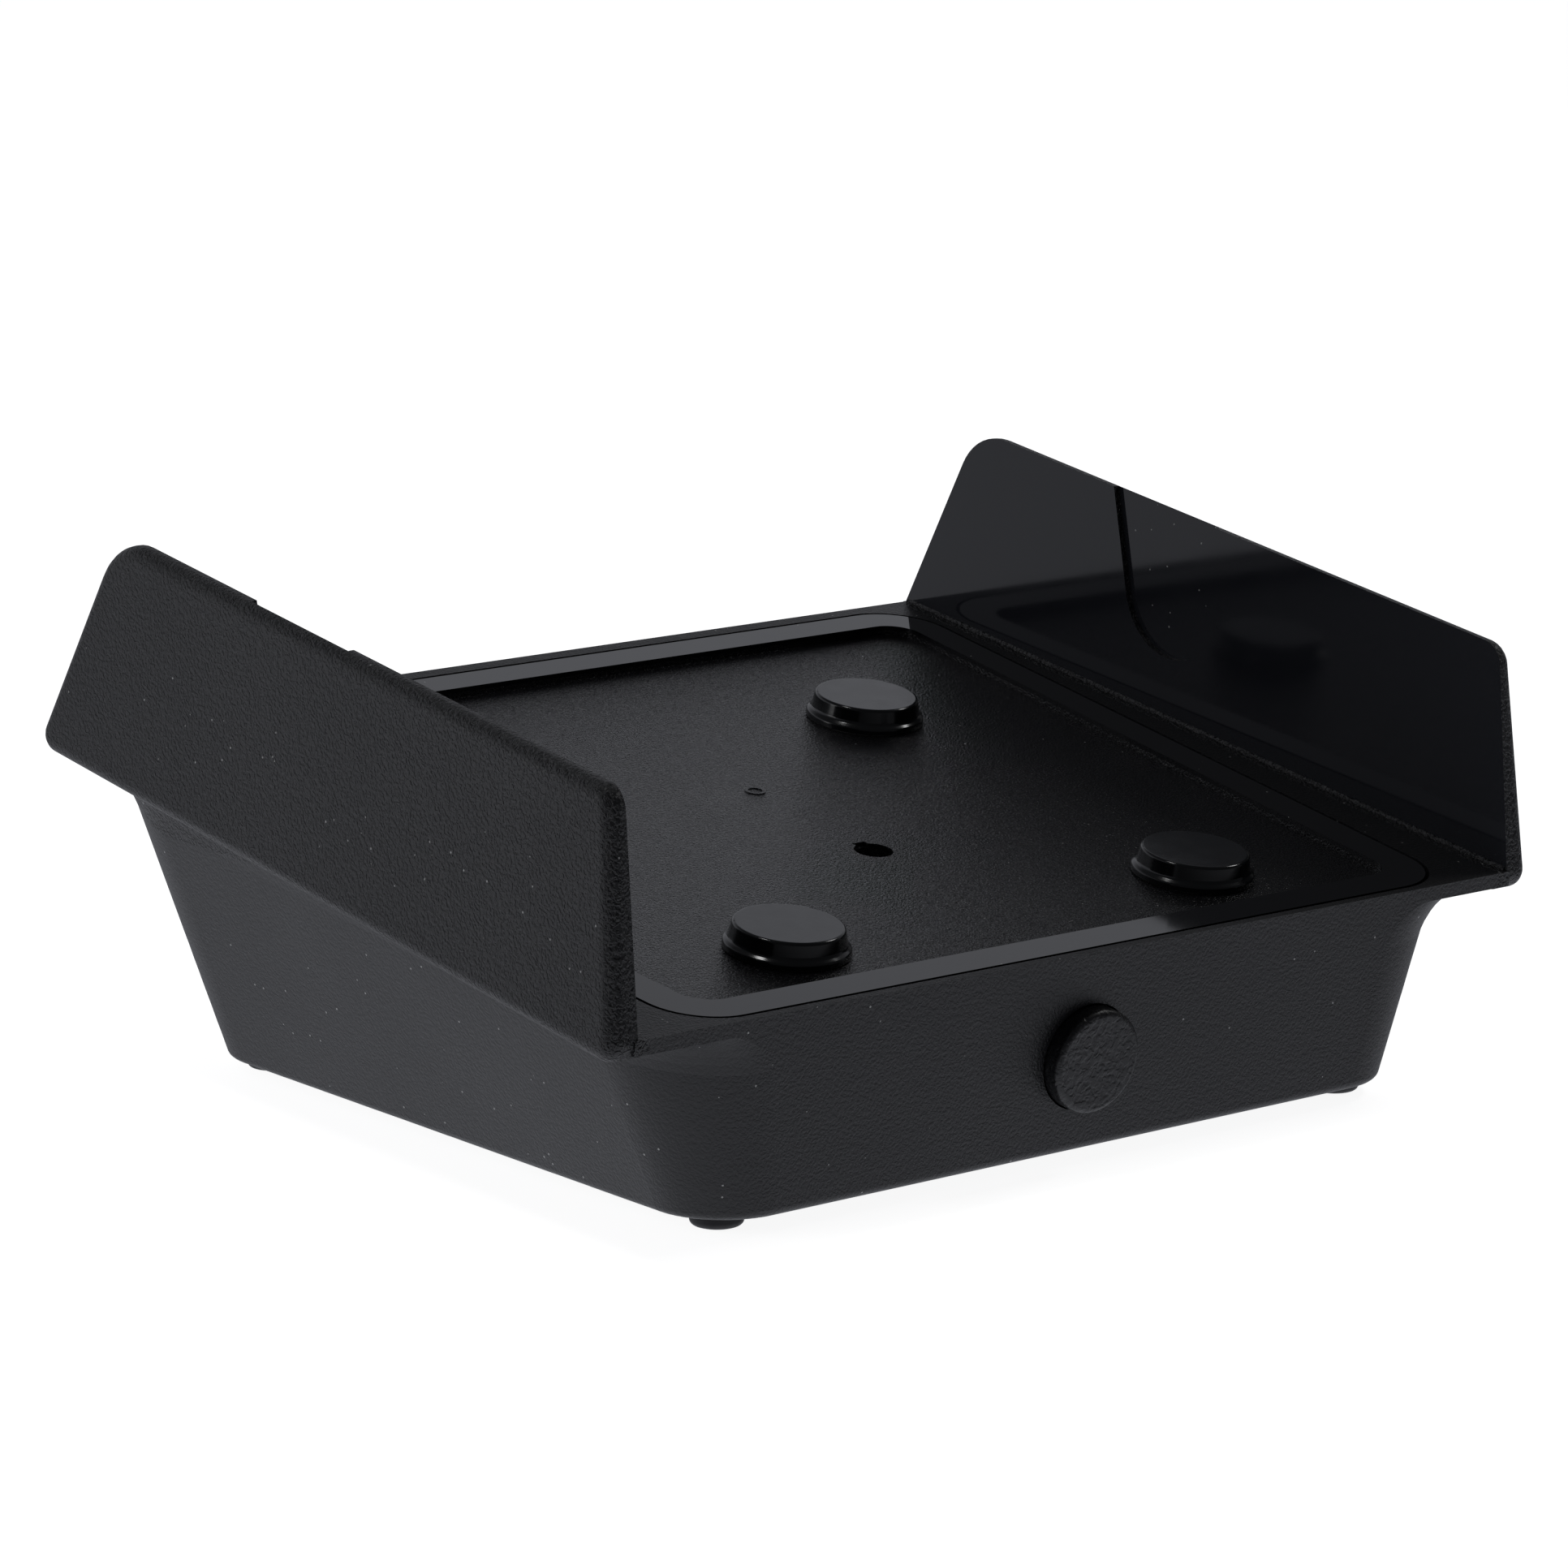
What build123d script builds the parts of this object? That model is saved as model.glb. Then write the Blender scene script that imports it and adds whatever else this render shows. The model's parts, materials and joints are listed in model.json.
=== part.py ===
"""Tilted cradle base: a hollow wedge-shaped plastic tub with two upright side
wings, a screwed-down top plate carrying four round bumpers, stick-on feet, and
a push button in the front wall that works a switch on a small board.

Frame: +X right, +Y back, +Z up. The origin is on the table, under the middle
of the footprint. Deck coordinates (u, v, w) belong to the sloping rim plane:
u to the right, v up the slope to the back, w out of the plane.
"""
import os
from math import atan, cos, radians, sin, tan

from build123d import *

os.makedirs("parts", exist_ok=True)

# ---------------------------------------------------------------- dimensions
# Tub: a rounded rectangle at the bottom, drafted walls, cut off by the deck
foot_height = 2.2
base_half_width = 69.0
base_front = -67.65
base_back = 61.45
base_corner = 12.0
base_edge_round = 1.5
side_draft = 20.0
front_draft = 7.8
back_draft = 12.2
tub_wall = 2.4
floor_thickness = 2.4

# Deck: the sloping plane of the rim
deck_tilt = 8.36
deck_height = 44.0
rim_front_corner = 17.8
rim_back_corner = 21.3

# Flange that carries the wings, and the cove that blends it into the tub
flange_thickness = 2.4
cove_front = 6.4
cove_back = 0.5
cove_steps = 6

# Wings: one each side, flat inside, leaning and rounded outside
wing_inner = 85.0
wing_outer = 89.9
wing_top_thickness = 2.8
wing_height = 34.3
wing_drop = 3.7
wing_front = -72.5
wing_back = 73.8
wing_front_top = -64.4
wing_back_top = 60.6
wing_front_corner = 4.0
wing_back_corner = 10.5
wing_lower_corner = 3.0
wing_edge_round = 2.4
wing_root_round = 0.6

# Thumb recess in each wing's inner face, open at the top
recess_radius = 11.8
recess_depth = 1.0
recess_v = 8.6
recess_w = 21.6
recess_lean = 19.5

# Deck plate: a border flush with the rim round a sunken panel
plate_front = -70.8
plate_back = 70.3
plate_front_half = 74.3
plate_back_half = 81.8
plate_corner = 10.0
plate_thickness = 1.8
plate_gap = 0.6
border_width = 6.1
panel_depth = 1.6
panel_thickness = 2.0
panel_corner = 5.0
panel_margin = 1.0
skirt_inset = 1.7
skirt_width = 1.5
skirt_depth = 4.2
skirt_front_corner = 12.0
skirt_back_corner = 20.0
skirt_gap = 0.4
opening_front_corner = 12.0
opening_back_corner = 17.0

# Deck screw, the cup in the plate that hides its head, and the gate mark
screw_v = -20.9
screw_hole_diameter = 6.1
screw_cup_diameter = 9.5
screw_cup_depth = 8.5
screw_cup_floor = 1.8
screw_clear_diameter = 3.4
screw_boss_diameter = 8.5
screw_head_diameter = 5.6
screw_head_height = 2.2
screw_diameter = 2.9
screw_length = 12.0
hole_notch_width = 2.3
hole_notch_depth = 0.7
gate_v = 8.3
gate_diameter = 3.3
gate_bore = 2.3
gate_height = 0.15

# Round bumpers on the panel
bumper_diameter = 19.1
bumper_top_diameter = 16.1
bumper_height = 4.1
bumper_skirt = 0.9
bumper_waist = 17.6
bumper_waist_height = 1.5
bumper_pitch_u = 80.0
bumper_pitch_v = 79.6
bumper_centre_v = -9.7
adhesive_thickness = 0.2
adhesive_margin = 0.5

# Feet under the tub
foot_diameter = 8.0
foot_round = 0.9
foot_x = 61.0
foot_front = -59.1
foot_back = 52.9

# Front button, measured along the front wall's outward normal
button_diameter = 16.1
button_gap = 0.3
button_up_wall = 15.0
button_proud = 2.9
button_round = 0.9
button_shell = 1.8
collar_diameter = 18.4
collar_pocket_diameter = 19.6
collar_thickness = 1.3
collar_clearance = 0.2
post_diameter = 5.6
post_end = -7.0
socket_depth = 4.0

# Push switch behind the button
plunger_width = 3.0
plunger_clearance = 0.1
plunger_foot_width = 5.2
plunger_foot_thickness = 1.2
housing_width = 8.5
housing_front = -10.2
housing_back = -19.0
housing_wall = 0.8
plunger_foot_gap = 0.2
spring_diameter = 4.4
spring_wire = 0.4
spring_turns = 5
spring_end_gap = 0.1
pin_diameter = 0.7
pin_hole_diameter = 0.9
pin_length = 3.2
pin_pitch = 2.5
pin_row_spacing = 5.0

# Switch board and its two screws
board_width = 33.0
board_height = 16.0
board_corner = 1.5
board_thickness = 1.6
board_hole_x = 13.0
board_hole_diameter = 2.6
board_boss_diameter = 5.5
board_screw_diameter = 1.9
board_screw_length = 7.0
board_head_diameter = 4.2
board_head_height = 1.4

# Shared by both sizes of screw
pilot_clearance = 0.1
tip_length = 1.2
recess_arm_share = 0.16
recess_span_share = 0.58
recess_depth_share = 0.5

# ------------------------------------------------------------------- planes
tilt = radians(deck_tilt)
deck_up_slope = Vector(0, cos(tilt), sin(tilt))
deck_normal = Vector(0, -sin(tilt), cos(tilt))
deck_origin = Vector(0, 0, deck_height)
deck = Plane(origin=deck_origin, x_dir=(1, 0, 0), z_dir=deck_normal)

wall_lean = radians(front_draft)
wall_up = Vector(0, -sin(wall_lean), cos(wall_lean))
wall_out = Vector(0, -cos(wall_lean), -sin(wall_lean))
button_centre = Vector(0, base_front, foot_height) + wall_up * button_up_wall
button_plane = Plane(origin=button_centre, x_dir=(1, 0, 0), z_dir=wall_out)

wing_plane = Plane(
    origin=deck_origin + Vector(wing_inner, 0, 0), x_dir=deck_up_slope, z_dir=(1, 0, 0)
)


def on_plane(plane, x, y, z=0.0):
    """The same plane moved to a local point."""
    return Plane(origin=plane.from_local_coords((x, y, z)), x_dir=plane.x_dir, z_dir=plane.z_dir)


def save(part, name):
    part.label = name
    export_step(part, f"parts/{name}.step")


# ----------------------------------------------------------------- outlines
def side_half_width(z):
    """Half width of the tub at height z."""
    return base_half_width + (z - foot_height) * tan(radians(side_draft))


def wall_v(bottom_y, draft, w):
    """Where a front or back wall crosses the plane at w over the deck."""
    slope = tan(radians(draft))
    rise = deck_height - foot_height + w * cos(tilt)
    return (bottom_y + rise * slope + w * sin(tilt)) / (cos(tilt) - sin(tilt) * slope)


def deck_z(v, w):
    return deck_height + v * sin(tilt) + w * cos(tilt)


def trapezoid(plane, front, back, front_half, back_half, front_corner, back_corner):
    with BuildSketch(plane) as outline:
        with BuildLine():
            Polyline(
                (-front_half, front), (front_half, front), (back_half, back), (-back_half, back),
                close=True,
            )
        make_face()
        fillet(outline.vertices().group_by(Axis.Y)[0], front_corner)
        fillet(outline.vertices().group_by(Axis.Y)[-1], back_corner)
    return outline.sketch


def level_outline(z, inset=0.0):
    """The tub's outline on a level plane."""
    rise = z - foot_height
    half = side_half_width(z) - inset
    front = base_front - rise * tan(radians(front_draft)) + inset
    back = base_back + rise * tan(radians(back_draft)) - inset
    corner = base_corner - inset
    return trapezoid(Plane.XY.offset(z), front, back, half, half, corner, corner)


def sloping_outline(w, inset=0.0, front_spread=0.0, back_spread=0.0):
    """The tub's outline on a plane parallel to the deck."""
    front = wall_v(base_front, -front_draft, w)
    back = wall_v(base_back, back_draft, w)
    return trapezoid(
        deck.offset(w), front + inset, back - inset,
        side_half_width(deck_z(front, w)) - inset + front_spread,
        side_half_width(deck_z(back, w)) - inset + back_spread,
        rim_front_corner - inset, rim_back_corner - inset,
    )


def cove_outline(angle):
    """One slice of the cove: flush with the tub at 0 degrees, widest at 90."""
    drop = 1 - sin(radians(angle))
    spread = 1 - cos(radians(angle))
    return sloping_outline(
        -flange_thickness - cove_front * drop,
        front_spread=cove_front * spread, back_spread=cove_back * spread,
    )


def flange_outline(w):
    """The slab between the wings, let a little way into them."""
    half_width = wing_inner + wing_root_round
    front = wall_v(base_front, -front_draft, w)
    back = wall_v(base_back, back_draft, w)
    with BuildSketch(deck.offset(w)) as outline:
        with Locations((0, (front + back) / 2)):
            Rectangle(2 * half_width, back - front)
    return outline.sketch


def plate_outline(w, inset, side_inset, front_corner, back_corner):
    """The deck plate's outline drawn in by an inset, or grown by a negative one."""
    return trapezoid(
        deck.offset(w), plate_front + inset, plate_back - inset,
        plate_front_half - side_inset, plate_back_half - side_inset, front_corner, back_corner,
    )


# ----------------------------------------------------------- turned pieces
def turned(base, outline, rounds=()):
    """Solid of revolution about base's normal, from (radius, height) points."""
    section = Plane(origin=base.origin, x_dir=base.x_dir, z_dir=-base.y_dir)
    with BuildPart() as piece:
        with BuildSketch(section) as profile:
            with BuildLine():
                Polyline(*outline, close=True)
            make_face()
            for corner, radius in rounds:
                fillet(profile.vertices().sort_by_distance(corner)[0], radius)
        revolve(axis=Axis(base.origin, base.z_dir))
    return piece.part


def disc(base, diameter, height):
    radius = diameter / 2
    return turned(base, [(0, 0), (radius, 0), (radius, height), (0, height)])


def screw(base, head_diameter, head_height, diameter, length):
    """Pan-head screw with a cross recess; base is the face its head sits on."""
    head = head_diameter / 2
    shank = diameter / 2
    with BuildPart() as piece:
        add(turned(
            base,
            [
                (0, -length), (shank / 2, -length), (shank, tip_length - length), (shank, 0),
                (head, 0), (head, head_height), (0, head_height),
            ],
            [((head, head_height), head_height * 0.6)],
        ))
        with BuildSketch(base.offset(head_height)):
            Rectangle(head_diameter * recess_span_share, head_diameter * recess_arm_share)
            Rectangle(head_diameter * recess_arm_share, head_diameter * recess_span_share)
        extrude(amount=-head_height * recess_depth_share, mode=Mode.SUBTRACT)
    return piece.part


# -------------------------------------------------------------------- wings
front_slope = (wing_front_top - wing_front) / wing_height
back_slope = (wing_back_top - wing_back) / wing_height
with BuildPart() as wing:
    with BuildSketch(wing_plane) as wing_outline:
        with BuildLine():
            Polyline(
                (wing_front - wing_drop * front_slope, -wing_drop),
                (wing_back - wing_drop * back_slope, -wing_drop),
                (wing_back_top, wing_height), (wing_front_top, wing_height), close=True,
            )
        make_face()
        for corner, radius in (
            ((wing_front, -wing_drop), wing_lower_corner),
            ((wing_back, -wing_drop), wing_lower_corner),
            ((wing_front_top, wing_height), wing_front_corner),
            ((wing_back_top, wing_height), wing_back_corner),
        ):
            fillet(wing_outline.vertices().sort_by_distance(corner)[0], radius)
    extrude(amount=wing_outer - wing_inner + wing_edge_round)
    lean = atan((wing_outer - wing_inner - wing_top_thickness) / wing_height)
    outer_normal = Vector(1, 0, 0) * cos(lean) + deck_normal * sin(lean)
    outer_base = deck_origin + Vector(wing_outer, 0, 0)
    split(bisect_by=Plane(origin=outer_base, z_dir=outer_normal), keep=Keep.BOTTOM)
    fillet(wing.faces().sort_by(Axis.X)[-1].edges(), wing_edge_round)
    with BuildSketch(wing_plane):
        with Locations((recess_v, recess_w)):
            Circle(recess_radius)
            Rectangle(
                2 * recess_radius, 3 * recess_radius, rotation=-recess_lean,
                align=(Align.CENTER, Align.MIN),
            )
    extrude(amount=recess_depth, mode=Mode.SUBTRACT)

    # Foot of the wing, a little thicker inwards below the deck
    with BuildSketch(wing_plane.offset(-wing_root_round)):
        add(wing_outline.sketch_local)
        Rectangle(
            4 * wing_back, 2 * wing_drop, align=(Align.CENTER, Align.MAX), mode=Mode.INTERSECT
        )
    extrude(amount=wing_root_round)

# Small hollow round along each wing's root, set into the wing and the slab
root_front = wing_front + wing_root_round
root_back = wall_v(base_back, back_draft, 0) - wing_root_round
root_plane = Plane(
    origin=deck.from_local_coords((wing_inner, root_back, 0)), x_dir=(1, 0, 0),
    z_dir=-deck_up_slope,
)
with BuildPart() as wing_root:
    with BuildSketch(root_plane):
        with BuildLine():
            RadiusArc((-wing_root_round, 0), (0, wing_root_round), -wing_root_round)
            Polyline(
                (0, wing_root_round), (wing_root_round, wing_root_round),
                (wing_root_round, -wing_root_round), (-wing_root_round, -wing_root_round),
                (-wing_root_round, 0),
            )
        make_face()
    extrude(amount=root_back - root_front)

# ------------------------------------------------------- inside of the tub
with BuildPart() as cavity:
    loft(
        sections=[
            level_outline(foot_height + floor_thickness, tub_wall),
            sloping_outline(0, tub_wall),
        ],
        ruled=True,
    )
    opening_inset = skirt_inset - skirt_gap
    opening = plate_outline(
        0, opening_inset, opening_inset, opening_front_corner, opening_back_corner
    )
    extrude(opening, amount=2 * deck_height, both=True, mode=Mode.INTERSECT)

# --------------------------------------------------------------- body shell
cup_bottom = -panel_depth - screw_cup_depth
with BuildPart() as body_shell:
    cove = [cove_outline(90 * step / cove_steps) for step in range(cove_steps + 1)]
    loft(sections=[level_outline(foot_height)] + cove, ruled=True)
    fillet(body_shell.faces().sort_by(Axis.Z)[0].edges(), base_edge_round)
    loft(sections=[flange_outline(0), flange_outline(-flange_thickness)], ruled=True)
    for piece in (wing.part, wing_root.part):
        add(piece)
        add(mirror(piece, about=Plane.YZ, mode=Mode.PRIVATE))

    # Hollow inside, with a rebate that the deck plate drops into
    add(cavity.part, mode=Mode.SUBTRACT)
    extrude(
        plate_outline(
            0, -plate_gap, -plate_gap, plate_corner + plate_gap, plate_corner + plate_gap
        ),
        amount=-plate_thickness, mode=Mode.SUBTRACT,
    )

    # Boss for the deck screw, square to the deck and rooted in the floor
    floor_middle = foot_height + floor_thickness / 2
    boss_length = (deck_z(screw_v, cup_bottom) - floor_middle) / cos(tilt)
    screw_seat = on_plane(deck, 0, screw_v, cup_bottom)
    with BuildSketch(screw_seat):
        Circle(screw_boss_diameter / 2)
    extrude(amount=-boss_length)
    with BuildSketch(screw_seat):
        Circle((screw_diameter + pilot_clearance) / 2)
    extrude(amount=-screw_length, mode=Mode.SUBTRACT)

    # Bosses for the switch board
    with BuildSketch(button_plane.offset(housing_back)):
        with Locations((board_hole_x, 0), (-board_hole_x, 0)):
            Circle(board_boss_diameter / 2)
    extrude(amount=-housing_back - tub_wall / 2)
    with BuildSketch(button_plane.offset(housing_back)):
        with Locations((board_hole_x, 0), (-board_hole_x, 0)):
            Circle((board_screw_diameter + pilot_clearance) / 2)
    extrude(amount=board_screw_length, mode=Mode.SUBTRACT)

    # The button's hole, with a flat pocket behind the wall for its collar
    with BuildSketch(button_plane):
        Circle(button_diameter / 2 + button_gap)
    extrude(amount=2 * tub_wall, both=True, mode=Mode.SUBTRACT)
    with BuildSketch(button_plane.offset(-tub_wall)):
        Circle(collar_pocket_diameter / 2)
    extrude(amount=-2 * tub_wall, mode=Mode.SUBTRACT)
save(body_shell.part, "body_shell")

# --------------------------------------------------------------- deck plate
with BuildPart() as deck_plate:
    extrude(plate_outline(0, 0, 0, plate_corner, plate_corner), amount=-plate_thickness)
    skirt_outline = plate_outline(
        0, skirt_inset, skirt_inset, skirt_front_corner, skirt_back_corner
    )
    extrude(skirt_outline, amount=-skirt_depth)
    skirt_bore = skirt_inset + skirt_width
    extrude(
        plate_outline(
            -plate_thickness, skirt_bore, skirt_bore, skirt_front_corner - skirt_width,
            skirt_back_corner - skirt_width,
        ),
        amount=-skirt_depth, mode=Mode.SUBTRACT,
    )
    panel_inset = border_width - panel_margin
    panel_round = panel_corner + panel_margin
    extrude(
        plate_outline(0, panel_inset, panel_inset, panel_round, panel_round),
        amount=-panel_depth - panel_thickness,
    )
    extrude(
        plate_outline(0, border_width, border_width, panel_corner, panel_corner),
        amount=-panel_depth, mode=Mode.SUBTRACT,
    )

    # Cup for the screw's head, with a stepped hole through it
    cup_top = on_plane(deck, 0, screw_v, -panel_depth)
    with BuildSketch(cup_top):
        Circle(screw_cup_diameter / 2)
    extrude(amount=-screw_cup_depth)
    with BuildSketch(cup_top):
        Circle(screw_hole_diameter / 2)
        with Locations((0, screw_hole_diameter / 2)):
            Rectangle(hole_notch_width, 2 * hole_notch_depth)
    extrude(amount=-hole_notch_depth, mode=Mode.SUBTRACT)
    with BuildSketch(cup_top):
        Circle(screw_hole_diameter / 2)
    extrude(amount=screw_cup_floor - screw_cup_depth, mode=Mode.SUBTRACT)
    with BuildSketch(cup_top):
        Circle(screw_clear_diameter / 2)
    extrude(amount=-screw_cup_depth, mode=Mode.SUBTRACT)

    # Gate mark: a low ring left by the mould
    with BuildSketch(on_plane(deck, 0, gate_v, -panel_depth)):
        Circle(gate_diameter / 2)
        Circle(gate_bore / 2, mode=Mode.SUBTRACT)
    extrude(amount=gate_height)
save(deck_plate.part, "deck_plate")

deck_screw = screw(
    on_plane(deck, 0, screw_v, cup_bottom + screw_cup_floor),
    screw_head_diameter, screw_head_height, screw_diameter, screw_length,
)
save(deck_screw, "deck_screw")


# --------------------------------------------------- bumpers and their feet
def bumper(base):
    radius = bumper_diameter / 2
    top = bumper_top_diameter / 2
    waist = bumper_waist / 2
    height = bumper_height - adhesive_thickness
    return turned(
        base,
        [
            (0, 0), (radius, 0), (radius, bumper_skirt), (waist, bumper_waist_height),
            (top + 0.3, height), (0, height),
        ],
        [
            ((radius, bumper_skirt), 0.45), ((waist, bumper_waist_height), 0.8),
            ((top + 0.3, height), 0.5),
        ],
    )


def foot(base):
    radius = foot_diameter / 2
    height = foot_height - adhesive_thickness
    return turned(
        base, [(0, 0), (radius, 0), (radius, height), (0, height)], [((radius, 0), foot_round)]
    )


for side, x_sign in (("left", -1), ("right", 1)):
    for end, y_sign, foot_y in (("front", -1, foot_front), ("back", 1, foot_back)):
        u = x_sign * bumper_pitch_u / 2
        v = bumper_centre_v + y_sign * bumper_pitch_v / 2
        bumper_seat = on_plane(deck, u, v, -panel_depth)
        save(
            disc(bumper_seat, bumper_diameter - 2 * adhesive_margin, adhesive_thickness),
            f"bumper_adhesive_{end}_{side}",
        )
        save(bumper(bumper_seat.offset(adhesive_thickness)), f"deck_bumper_{end}_{side}")
        foot_plane = on_plane(Plane.XY, x_sign * foot_x, foot_y)
        save(foot(foot_plane), f"base_foot_{end}_{side}")
        save(
            disc(
                foot_plane.offset(foot_height - adhesive_thickness),
                foot_diameter - 2 * adhesive_margin, adhesive_thickness,
            ),
            f"foot_adhesive_{end}_{side}",
        )

# ------------------------------------------------------------- front button
button_radius = button_diameter / 2
collar_front = -tub_wall - collar_clearance
collar_back = collar_front - collar_thickness
pocket_radius = button_radius - button_shell
pocket_top = button_proud - button_shell
with BuildPart() as front_button:
    add(turned(
        button_plane,
        [
            (0, button_proud), (button_radius, button_proud), (button_radius, collar_front),
            (collar_diameter / 2, collar_front), (collar_diameter / 2, collar_back),
            (pocket_radius, collar_back), (pocket_radius, pocket_top),
            (post_diameter / 2, pocket_top), (post_diameter / 2, post_end), (0, post_end),
        ],
        [((button_radius, button_proud), button_round)],
    ))
    with BuildSketch(button_plane.offset(post_end)):
        Rectangle(plunger_width, plunger_width)
    extrude(amount=socket_depth, mode=Mode.SUBTRACT)
save(front_button.part, "front_button")

# -------------------------------------------------------------- push switch
plunger_front = post_end + socket_depth - plunger_clearance
foot_front_face = housing_front - housing_wall - plunger_foot_gap
foot_back_face = foot_front_face - plunger_foot_thickness
with BuildPart() as switch_plunger:
    with BuildSketch(button_plane.offset(foot_front_face)):
        Rectangle(plunger_width, plunger_width)
    extrude(amount=plunger_front - foot_front_face)
    with BuildSketch(button_plane.offset(foot_back_face)):
        Rectangle(plunger_foot_width, plunger_foot_width)
    extrude(amount=plunger_foot_thickness)
save(switch_plunger.part, "switch_plunger")

with BuildPart() as switch_housing:
    with BuildSketch(button_plane.offset(housing_back)):
        Rectangle(housing_width, housing_width)
    extrude(amount=housing_front - housing_back)
    housing_bore = housing_width - 2 * housing_wall
    with BuildSketch(button_plane.offset(housing_back + housing_wall)):
        Rectangle(housing_bore, housing_bore)
    extrude(amount=housing_front - housing_back - 2 * housing_wall, mode=Mode.SUBTRACT)
    with BuildSketch(button_plane.offset(housing_front)):
        mouth = plunger_width + 2 * plunger_clearance
        Rectangle(mouth, mouth)
    extrude(amount=-housing_wall, mode=Mode.SUBTRACT)
save(switch_housing.part, "switch_housing")

spring_back = housing_back + housing_wall + spring_end_gap + spring_wire / 2
spring_front = foot_back_face - spring_end_gap - spring_wire / 2
spring_length = spring_front - spring_back
with BuildPart() as switch_spring:
    with BuildLine() as coil:
        Helix(
            pitch=spring_length / spring_turns, height=spring_length,
            radius=(spring_diameter - spring_wire) / 2,
            center=button_plane.offset(spring_back).origin, direction=wall_out,
        )
    with BuildSketch(Plane(origin=coil.line @ 0, z_dir=coil.line % 0)):
        Circle(spring_wire / 2)
    sweep(is_frenet=True)
save(switch_spring.part, "switch_spring")

pin_places = GridLocations(pin_row_spacing, pin_pitch, 2, 3)
with BuildPart() as switch_pins:
    with BuildSketch(button_plane.offset(housing_back)):
        with pin_places:
            Circle(pin_diameter / 2)
    extrude(amount=-pin_length)
save(switch_pins.part, "switch_pins")

# ------------------------------------------------- switch board and screws
board_back = housing_back - board_thickness
with BuildPart() as switch_board:
    with BuildSketch(button_plane.offset(board_back)):
        RectangleRounded(board_width, board_height, board_corner)
        with Locations((board_hole_x, 0), (-board_hole_x, 0)):
            Circle(board_hole_diameter / 2, mode=Mode.SUBTRACT)
        with pin_places:
            Circle(pin_hole_diameter / 2, mode=Mode.SUBTRACT)
    extrude(amount=board_thickness)
save(switch_board.part, "switch_board")

board_rear = Plane(
    origin=button_plane.offset(board_back).origin, x_dir=(1, 0, 0), z_dir=-wall_out
)
board_screws = Compound(children=[
    screw(
        on_plane(board_rear, x, 0), board_head_diameter, board_head_height,
        board_screw_diameter, board_screw_length,
    )
    for x in (-board_hole_x, board_hole_x)
])
save(board_screws, "board_screws")
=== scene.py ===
"""Looks for the tilted cradle base: procedural black plastics, rubber and metal,
a white studio, and a camera at the near left corner. Metres, +Z up."""
import json
import math

import bpy
from mathutils import Matrix, Vector


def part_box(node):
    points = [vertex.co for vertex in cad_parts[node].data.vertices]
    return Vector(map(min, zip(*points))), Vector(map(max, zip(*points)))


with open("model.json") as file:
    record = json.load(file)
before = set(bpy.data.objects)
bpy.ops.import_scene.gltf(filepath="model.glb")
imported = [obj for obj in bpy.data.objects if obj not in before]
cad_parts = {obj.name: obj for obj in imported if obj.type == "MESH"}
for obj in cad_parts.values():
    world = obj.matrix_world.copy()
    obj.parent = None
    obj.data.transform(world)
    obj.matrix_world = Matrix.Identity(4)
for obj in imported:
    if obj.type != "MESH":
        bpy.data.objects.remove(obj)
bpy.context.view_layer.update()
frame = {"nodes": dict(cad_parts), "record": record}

# ------------------------------------------------------------- the deck plane
DECK_TILT = math.radians(8.36)
DECK_HEIGHT = 0.044
WING_INNER = 0.085
ROOT_ROUND = 0.0006
BORDER_TO_PANEL = -0.0008  # halfway down from the border to the sunken panel
RECESS_DEPTH = 0.001

# --------------------------------------------------------------------- camera
AZIMUTH = math.radians(39.08)
ELEVATION = math.radians(12.19)
ROLL = math.radians(0.33)
DISTANCE = 0.95885
AIM_RIGHT = -0.0067
AIM_UP = 0.00656
LENS = 143.1
SENSOR = 36.0

# --------------------------------------------------------------------- colour
BLACK_PLASTIC = (0.0036, 0.0037, 0.0046)
# painted sheen: a lighter colour laid on the polished wing faces of the same black plastic
PAINTED_SHEEN_BLACK = (0.0150, 0.0160, 0.0200)
BLACK_RUBBER = (0.0035, 0.0042, 0.0048)
# painted sheen: a lighter colour laid on the bumpers' upward-facing tops
PAINTED_SHEEN_RUBBER_TOP = (0.017, 0.018, 0.020)
GATE_BLUSH = (0.016, 0.016, 0.018)
DUST = (0.36, 0.36, 0.35)
FLOOR_COLOUR = (0.86, 0.86, 0.86)
FLOOR_GLOW = 0.90

# ---------------------------------------------------------------------- grain
TUB_GRAIN_PITCH = 0.00046
WING_GRAIN_PITCH = 0.00052
BUTTON_GRAIN_PITCH = 0.0009
GRAIN_DEPTH = 0.00020
TUB_GRAIN_STRENGTH = 0.25
WING_GRAIN_STRENGTH = 1.0
SPARK_SCALE = 2800.0
SPARK_DEPTH = 0.00020
GATE_BLUSH_CENTRE = (-0.006, 0.0085)
GATE_BLUSH_REACH = (0.007, 0.006)


def box_centre(node):
    low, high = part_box(node)
    return (Vector(low) + Vector(high)) / 2


def make_camera():
    """Looks at the middle of the four bumpers' seats from the front left."""
    seats = [name for name in frame["nodes"] if name.startswith("bumper_adhesive")]
    centre = sum((box_centre(name) for name in seats), Vector()) / len(seats)
    back = Vector((
        -math.sin(AZIMUTH) * math.cos(ELEVATION),
        -math.cos(AZIMUTH) * math.cos(ELEVATION),
        math.sin(ELEVATION),
    ))
    level_right = (-back).cross(Vector((0, 0, 1))).normalized()
    level_up = back.cross(level_right)
    right = math.cos(ROLL) * level_right + math.sin(ROLL) * level_up
    up = math.cos(ROLL) * level_up - math.sin(ROLL) * level_right
    data = bpy.data.cameras.new("camera")
    data.lens = LENS
    data.sensor_width = SENSOR
    camera = bpy.data.objects.new("camera", data)
    bpy.context.collection.objects.link(camera)
    place = Matrix((right, up, back)).transposed().to_4x4()
    place.translation = centre + right * AIM_RIGHT + up * AIM_UP + back * DISTANCE
    camera.matrix_world = place
    bpy.context.scene.camera = camera


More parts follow.
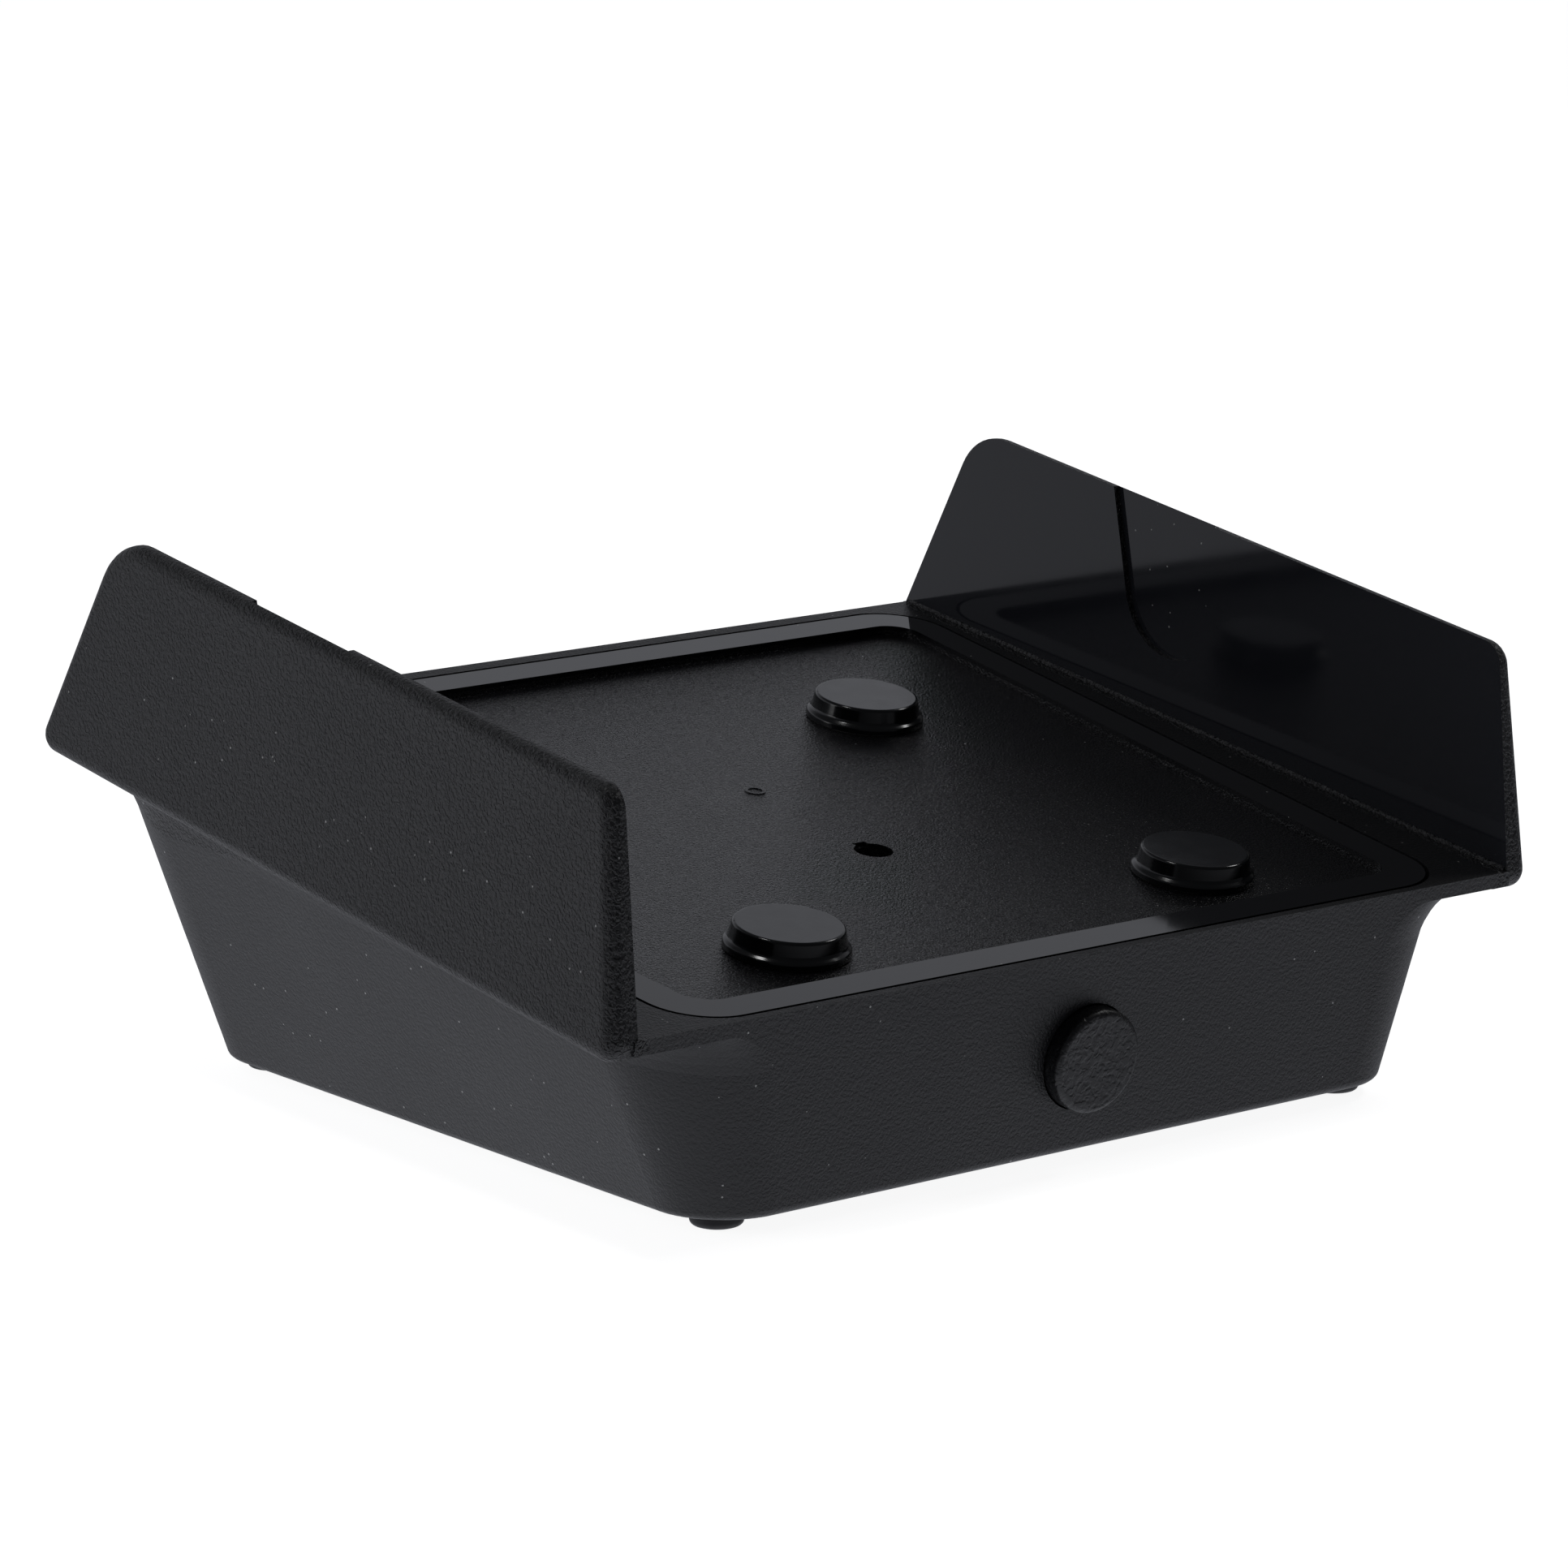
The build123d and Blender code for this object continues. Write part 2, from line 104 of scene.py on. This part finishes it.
# ---------------------------------------------------------- node-graph helper
class Graph:
    """A material's nodes, with short ways to add and join them."""

    def __init__(self, name, colour, roughness):
        self.material = bpy.data.materials.new(name)
        self.material.use_nodes = True
        self.nodes = self.material.node_tree.nodes
        self.links = self.material.node_tree.links
        self.shader = self.nodes["Principled BSDF"]
        self.shader.inputs["Base Color"].default_value = (*colour, 1)
        self.shader.inputs["Roughness"].default_value = roughness
        self.place = self.add("ShaderNodeTexCoord").outputs["Object"]

    def add(self, kind, **settings):
        node = self.nodes.new(kind)
        for key, value in settings.items():
            setattr(node, key, value)
        return node

    def join(self, source, socket):
        if isinstance(source, (int, float)):
            socket.default_value = source
        else:
            self.links.new(source, socket)

    def math(self, operation, *values, clamp=False):
        node = self.add("ShaderNodeMath", operation=operation, use_clamp=clamp)
        for value, socket in zip(values, node.inputs):
            self.join(value, socket)
        return node.outputs[0]

    def noise(self, scale, detail=2.0, roughness=0.5, distortion=0.0, place=None):
        node = self.add("ShaderNodeTexNoise")
        node.inputs["Scale"].default_value = scale
        node.inputs["Detail"].default_value = detail
        node.inputs["Roughness"].default_value = roughness
        node.inputs["Distortion"].default_value = distortion
        self.links.new(place or self.place, node.inputs["Vector"])
        return node.outputs["Fac"]

    def ramp(self, value, low, high, out_low=0.0, out_high=1.0):
        node = self.add("ShaderNodeMapRange", clamp=True)
        self.join(value, node.inputs["Value"])
        for key, number in zip(("From Min", "From Max", "To Min", "To Max"),
                               (low, high, out_low, out_high)):
            self.join(number, node.inputs[key])
        return node.outputs["Result"]

    def mix(self, factor, low, high):
        """low where factor is 0, high where it is 1."""
        return self.math("ADD", self.math("MULTIPLY", factor, self.math("SUBTRACT", high, low)), low)

    def split(self, vector):
        node = self.add("ShaderNodeSeparateXYZ")
        self.links.new(vector, node.inputs[0])
        return node.outputs

    def bump(self, height, distance, strength=1.0):
        node = self.add("ShaderNodeBump")
        node.inputs["Distance"].default_value = distance
        self.join(strength, node.inputs["Strength"])
        self.links.new(height, node.inputs["Height"])
        self.links.new(node.outputs["Normal"], self.shader.inputs["Normal"])

    def colours(self, base, *layers):
        """A base colour with (mask, colour) layers laid over it in turn."""
        under = self.add("ShaderNodeRGB").outputs[0]
        under.default_value = (*base, 1)
        for mask, colour in layers:
            node = self.add("ShaderNodeMixRGB")
            self.join(mask, node.inputs["Fac"])
            self.links.new(under, node.inputs["Color1"])
            node.inputs["Color2"].default_value = (*colour, 1)
            under = node.outputs["Color"]
        self.links.new(under, self.shader.inputs["Base Color"])


def above_deck(graph):
    """Height over the sloping rim plane, in metres."""
    place = graph.split(graph.place)
    slope = graph.math("MULTIPLY", place[1], math.tan(DECK_TILT))
    return graph.math("SUBTRACT", graph.math("SUBTRACT", place[2], DECK_HEIGHT), slope)


def true_normal(graph):
    return graph.split(graph.add("ShaderNodeNewGeometry").outputs["True Normal"])


def leather(graph, pitch):
    """Moulded leather grain: short ridges drawn out down the slope to the front."""
    drawn = graph.add("ShaderNodeMapping", vector_type="TEXTURE")
    drawn.inputs["Rotation"].default_value = (math.radians(50), 0, 0)
    drawn.inputs["Scale"].default_value = (1.0, 1.3, 1.0)
    graph.links.new(graph.place, drawn.inputs["Vector"])
    worms = graph.noise(
        1.0 / pitch, detail=1.5, roughness=0.5, distortion=0.5, place=drawn.outputs["Vector"]
    )
    return graph.ramp(worms, 0.36, 0.6)


def dust(graph, spacing, size, share):
    """Sparse pale specks: one in each of a share of the cells."""
    cells = graph.add("ShaderNodeTexVoronoi")
    cells.inputs["Scale"].default_value = 1.0 / spacing
    graph.links.new(graph.place, cells.inputs["Vector"])
    near = graph.math("LESS_THAN", cells.outputs["Distance"], size / spacing)
    pick = graph.split(cells.outputs["Color"])[0]
    return graph.math("MULTIPLY", near, graph.math("GREATER_THAN", pick, 1 - share))


def gate_blush(graph):
    """A faint pale cloud beside the gate mark, 0 to 1."""
    place = graph.split(graph.place)
    across, along = (
        graph.math("DIVIDE", graph.math("SUBTRACT", place[axis], centre), reach)
        for axis, (centre, reach) in enumerate(zip(GATE_BLUSH_CENTRE, GATE_BLUSH_REACH))
    )
    reach = graph.math("ADD", graph.math("POWER", across, 2.0), graph.math("POWER", along, 2.0))
    return graph.ramp(reach, 0.0, 1.0, 1.0, 0.0)


# ------------------------------------------------------------------ materials
def shell_plastic():
    """Leather grain outside, polished on the wings' inner faces; the polished faces get a lighter
    colour that is painted sheen.
    """
    graph = Graph("shell_plastic", BLACK_PLASTIC, 0.5)
    side = graph.math("ABSOLUTE", graph.split(graph.place)[0])
    height = above_deck(graph)
    facing = graph.math("ABSOLUTE", true_normal(graph)[0])
    inner = graph.math("LESS_THAN", side, WING_INNER + RECESS_DEPTH + 0.0001)
    polished = graph.math("MULTIPLY", inner, graph.math("GREATER_THAN", facing, 0.9))
    polished = graph.math("MULTIPLY", polished, graph.math("GREATER_THAN", height, ROOT_ROUND))
    wing = graph.math("GREATER_THAN", side, WING_INNER - 0.002)
    grain = graph.mix(wing, leather(graph, TUB_GRAIN_PITCH), leather(graph, WING_GRAIN_PITCH))
    rough = graph.ramp(graph.noise(18.0, detail=3.0), 0.3, 0.7, 0.40, 0.47)
    haze = graph.ramp(graph.noise(60.0, detail=4.0), 0.3, 0.7, 0.06, 0.11)
    graph.links.new(graph.mix(polished, rough, haze), graph.shader.inputs["Roughness"])
    specks = dust(graph, 0.0024, 0.00017, 0.3)
    # the polished faces get a lighter colour (painted sheen); the pale specks are dust
    graph.colours(BLACK_PLASTIC, (polished, PAINTED_SHEEN_BLACK), (specks, DUST))
    moulded = graph.mix(wing, TUB_GRAIN_STRENGTH, WING_GRAIN_STRENGTH)
    graph.bump(grain, GRAIN_DEPTH, graph.mix(polished, moulded, 0.0))
    return graph.material


def plate_plastic():
    """Polished border, fine spark texture on the sunken panel."""
    graph = Graph("plate_plastic", BLACK_PLASTIC, 0.4)
    border = graph.math("GREATER_THAN", above_deck(graph), BORDER_TO_PANEL)
    sparks = graph.noise(SPARK_SCALE, detail=1.0, roughness=0.6)
    drift = graph.ramp(graph.noise(22.0, detail=3.0), 0.3, 0.7, -0.03, 0.03)
    rough = graph.math("ADD", drift, graph.ramp(sparks, 0.4, 0.6, 0.18, 0.28))
    haze = graph.ramp(graph.noise(70.0, detail=4.0), 0.3, 0.7, 0.05, 0.08)
    graph.links.new(graph.mix(border, rough, haze), graph.shader.inputs["Roughness"])
    specks = dust(graph, 0.0028, 0.00014, 0.3)
    blush = gate_blush(graph)
    graph.colours(BLACK_PLASTIC, (blush, GATE_BLUSH), (specks, DUST))
    graph.bump(sparks, SPARK_DEPTH, graph.mix(border, 1.0, 0.0))
    return graph.material


def button_plastic():
    """The tub's leather grain on a small part."""
    graph = Graph("button_plastic", BLACK_PLASTIC, 0.45)
    rough = graph.ramp(graph.noise(40.0), 0.3, 0.7, 0.38, 0.46)
    graph.links.new(rough, graph.shader.inputs["Roughness"])
    graph.bump(leather(graph, BUTTON_GRAIN_PITCH), 0.0001, 0.8)
    return graph.material


def bumper_rubber():
    """Glossy moulded sides under a satin flat top; the top's lighter colour is painted sheen."""
    graph = Graph("bumper_rubber", BLACK_RUBBER, 0.1)
    top = graph.math("GREATER_THAN", true_normal(graph)[2], 0.985)
    satin = graph.ramp(graph.noise(300.0), 0.3, 0.7, 0.16, 0.22)
    gloss = graph.ramp(graph.noise(150.0), 0.3, 0.7, 0.12, 0.18)
    graph.links.new(graph.mix(top, gloss, satin), graph.shader.inputs["Roughness"])
    # the upward-facing top gets a lighter colour: painted sheen
    graph.colours(BLACK_RUBBER, (top, PAINTED_SHEEN_RUBBER_TOP))
    graph.bump(graph.noise(1500.0), 0.00002, graph.mix(top, 0.05, 0.3))
    return graph.material


def plain(name, colour, roughness, metallic=0.0, scale=400.0, bump=0.00001):
    """A simple moulded or plated surface with a little unevenness."""
    graph = Graph(name, colour, roughness)
    graph.shader.inputs["Metallic"].default_value = metallic
    texture = graph.noise(scale, detail=3.0)
    graph.links.new(
        graph.ramp(texture, 0.3, 0.7, roughness * 0.85, roughness * 1.15),
        graph.shader.inputs["Roughness"],
    )
    graph.bump(texture, bump, 0.5)
    return graph.material


def apply_materials():
    materials = {
        "shell_plastic": shell_plastic(),
        "plate_plastic": plate_plastic(),
        "button_plastic": button_plastic(),
        "bumper_rubber": bumper_rubber(),
        "foot_rubber": plain("foot_rubber", BLACK_RUBBER, 0.5, scale=900.0),
        "switch_plastic": plain("switch_plastic", (0.02, 0.02, 0.02), 0.45),
        "adhesive": plain("adhesive", (0.45, 0.45, 0.43), 0.8, scale=1500.0),
        "steel": plain("steel", (0.55, 0.55, 0.56), 0.3, metallic=1.0, scale=1200.0),
        "pin_brass": plain("pin_brass", (0.72, 0.68, 0.55), 0.35, metallic=1.0, scale=1200.0),
        "board_laminate": plain("board_laminate", (0.02, 0.12, 0.05), 0.35, scale=700.0),
    }
    slots = {row["node"]: row["material_slot"] for row in frame["record"]["subparts"]}
    for name, node in frame["nodes"].items():
        node.data.materials.clear()
        node.data.materials.append(materials[slots[name]])


# --------------------------------------------------------------------- studio
def area_light(name, place, aim, size, power):
    data = bpy.data.lights.new(name, "AREA")
    data.shape = "RECTANGLE"
    data.size, data.size_y = size
    data.energy = power
    light = bpy.data.objects.new(name, data)
    bpy.context.collection.objects.link(light)
    light.location = place
    light.rotation_euler = (Vector(aim) - Vector(place)).to_track_quat("-Z", "Y").to_euler()


def make_world():
    """The camera sees white. The object sees a bright floor, a grey backdrop
    behind it, a darker front and a dim ceiling."""
    world = bpy.data.worlds.new("studio")
    bpy.context.scene.world = world
    world.use_nodes = True
    nodes, links = world.node_tree.nodes, world.node_tree.links
    nodes.clear()

    def ramp(value, low, high, out_low, out_high):
        node = nodes.new("ShaderNodeMapRange")
        links.new(value, node.inputs["Value"])
        for key, number in zip(("From Min", "From Max", "To Min", "To Max"),
                               (low, high, out_low, out_high)):
            node.inputs[key].default_value = number
        return node.outputs["Result"]

    def join(operation, first, second):
        node = nodes.new("ShaderNodeMath")
        node.operation = operation
        links.new(first, node.inputs[0])
        links.new(second, node.inputs[1])
        return node.outputs[0]

    split = nodes.new("ShaderNodeSeparateXYZ")
    links.new(nodes.new("ShaderNodeTexCoord").outputs["Generated"], split.inputs[0])
    up, back = split.outputs["Z"], split.outputs["Y"]
    floor = ramp(up, -0.55, -0.05, 0.70, 0.06)
    backdrop = join("MULTIPLY", ramp(back, -0.3, 0.5, 0.06, 0.42), ramp(up, 0.43, 0.7, 1.0, 0.2))
    room = nodes.new("ShaderNodeBackground")
    room.inputs["Color"].default_value = (0.96, 0.98, 1.06, 1)
    links.new(join("MAXIMUM", floor, backdrop), room.inputs["Strength"])
    white = nodes.new("ShaderNodeBackground")
    white.inputs["Color"].default_value = (1, 1, 1, 1)
    mix = nodes.new("ShaderNodeMixShader")
    links.new(nodes.new("ShaderNodeLightPath").outputs["Is Camera Ray"], mix.inputs["Fac"])
    links.new(room.outputs[0], mix.inputs[1])
    links.new(white.outputs[0], mix.inputs[2])
    links.new(mix.outputs[0], nodes.new("ShaderNodeOutputWorld").inputs["Surface"])


def make_floor():
    """A pale sweep that glows to nearly white and still takes a soft shadow."""
    bpy.ops.mesh.primitive_plane_add(size=6, location=(0, 0, 0))
    floor = bpy.context.object
    floor.name = "floor"
    graph = Graph("floor", FLOOR_COLOUR, 0.8)
    graph.shader.inputs["Specular IOR Level"].default_value = 0.0
    graph.shader.inputs["Emission Color"].default_value = (1, 1, 1, 1)
    graph.shader.inputs["Emission Strength"].default_value = FLOOR_GLOW
    graph.bump(graph.noise(40.0), 0.0005, 0.05)
    floor.data.materials.append(graph.material)
    floor.visible_glossy = False
    floor.visible_diffuse = False
    floor.visible_shadow = False


def make_studio():
    bpy.context.scene.view_settings.view_transform = "Standard"
    make_world()
    area_light("overhead", (-0.36, 0.10, 1.05), (0, 0, 0.04), (0.16, 0.14), 1.0)
    area_light("right", (0.78, -0.10, 0.80), (0, 0, 0.04), (0.22, 0.18), 1.1)
    area_light("side", (-0.50, 0.22, 0.12), (-0.09, -0.06, 0.05), (0.25, 0.20), 0.22)
    make_floor()


make_camera()
apply_materials()
make_studio()
